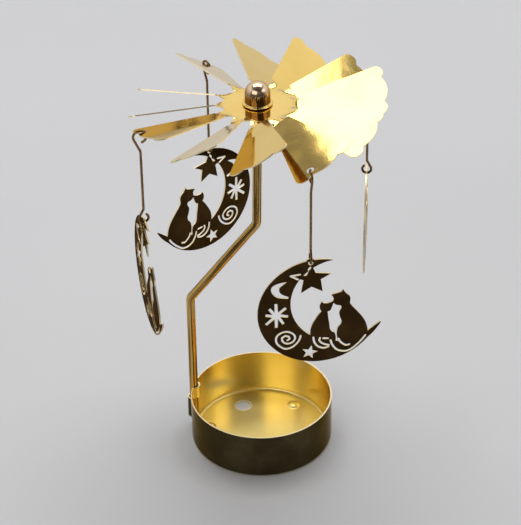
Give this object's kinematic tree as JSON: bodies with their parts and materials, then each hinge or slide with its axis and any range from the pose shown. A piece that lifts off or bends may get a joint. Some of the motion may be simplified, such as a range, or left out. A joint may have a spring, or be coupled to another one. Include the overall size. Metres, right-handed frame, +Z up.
{
  "type": "candle carousel",
  "caption": "Tealight cup with a bent needle post and a twisted-blade rotor that spins in rising warm air, carrying hanging moon and cat charms on wire hooks.",
  "frame": {"origin": "centre of the underside of the candle cup, on the surface that it stands on", "axes": "+Z up along the axis that the rotor turns on; +X to the right and -Y towards the viewer of the reference view, so the post stands at the left, just behind the X axis"},
  "size_m": [0.0816, 0.0867, 0.1396],
  "materials": {
    "cup": "gold-coloured plated sheet, mirror outside, satin inside",
    "post": "gold-coloured plated rod, polished",
    "rotor": "gold-coloured plated sheet, polished with a slight satin sheen",
    "cap": "gold-coloured plated cap, mirror polished",
    "wire": "gold-coloured plated wire",
    "charm": "gold-coloured plated sheet, polished"
  },
  "bodies": {
    "base": {"candle_cup": "cup", "post": "post"},
    "rotor": {"rotor": "rotor", "bearing_cap": "cap"},
    "hanger_right": {"hanger_right": "wire"},
    "charm_right": {"charm_right": "charm"},
    "hanger_back": {"hanger_back": "wire"},
    "charm_back": {"charm_back": "charm"},
    "hanger_left": {"hanger_left": "wire"},
    "charm_left": {"charm_left": "charm"},
    "hanger_front": {"hanger_front": "wire"},
    "charm_front": {"charm_front": "charm"}
  },
  "joints": [
    {"name": "rotor_spin", "type": "hinge", "parent": "base", "child": "rotor", "pos_m": [0, 0, 0.1315], "axis": [0, 0, 1], "continuous": true},
    {"name": "hanger_right_swing", "type": "hinge", "parent": "rotor", "child": "hanger_right", "pos_m": [0.03576, 0.01551, 0.12653], "axis": [-0.0872, -0.9962, 0], "range_deg": [-8, 30]},
    {"name": "hanger_back_swing", "type": "hinge", "parent": "rotor", "child": "hanger_back", "pos_m": [-0.01673, 0.03573, 0.12596], "axis": [0.809, 0.5878, 0], "range_deg": [-8, 30]},
    {"name": "hanger_left_swing", "type": "hinge", "parent": "rotor", "child": "hanger_left", "pos_m": [-0.03638, -0.01586, 0.12945], "axis": [-0.2588, 0.9659, 0], "range_deg": [-8, 30]},
    {"name": "hanger_front_swing", "type": "hinge", "parent": "rotor", "child": "hanger_front", "pos_m": [0.01574, -0.03586, 0.12626], "axis": [-0.9925, -0.1219, 0], "range_deg": [-8, 30]},
    {"name": "charm_right_rock", "type": "hinge", "parent": "hanger_right", "child": "charm_right", "pos_m": [0.03576, 0.01551, 0.09663], "axis": [0.9962, -0.0872, 0], "range_deg": [-20, 20]},
    {"name": "charm_back_rock", "type": "hinge", "parent": "hanger_back", "child": "charm_back", "pos_m": [-0.01673, 0.03573, 0.09396], "axis": [-0.5878, 0.809, 0], "range_deg": [-20, 20]},
    {"name": "charm_left_rock", "type": "hinge", "parent": "hanger_left", "child": "charm_left", "pos_m": [-0.03638, -0.01586, 0.09845], "axis": [-0.9659, -0.2588, 0], "range_deg": [-20, 20]},
    {"name": "charm_front_rock", "type": "hinge", "parent": "hanger_front", "child": "charm_front", "pos_m": [0.01574, -0.03586, 0.09556], "axis": [0.1219, -0.9925, 0], "range_deg": [-20, 20]}
  ]
}
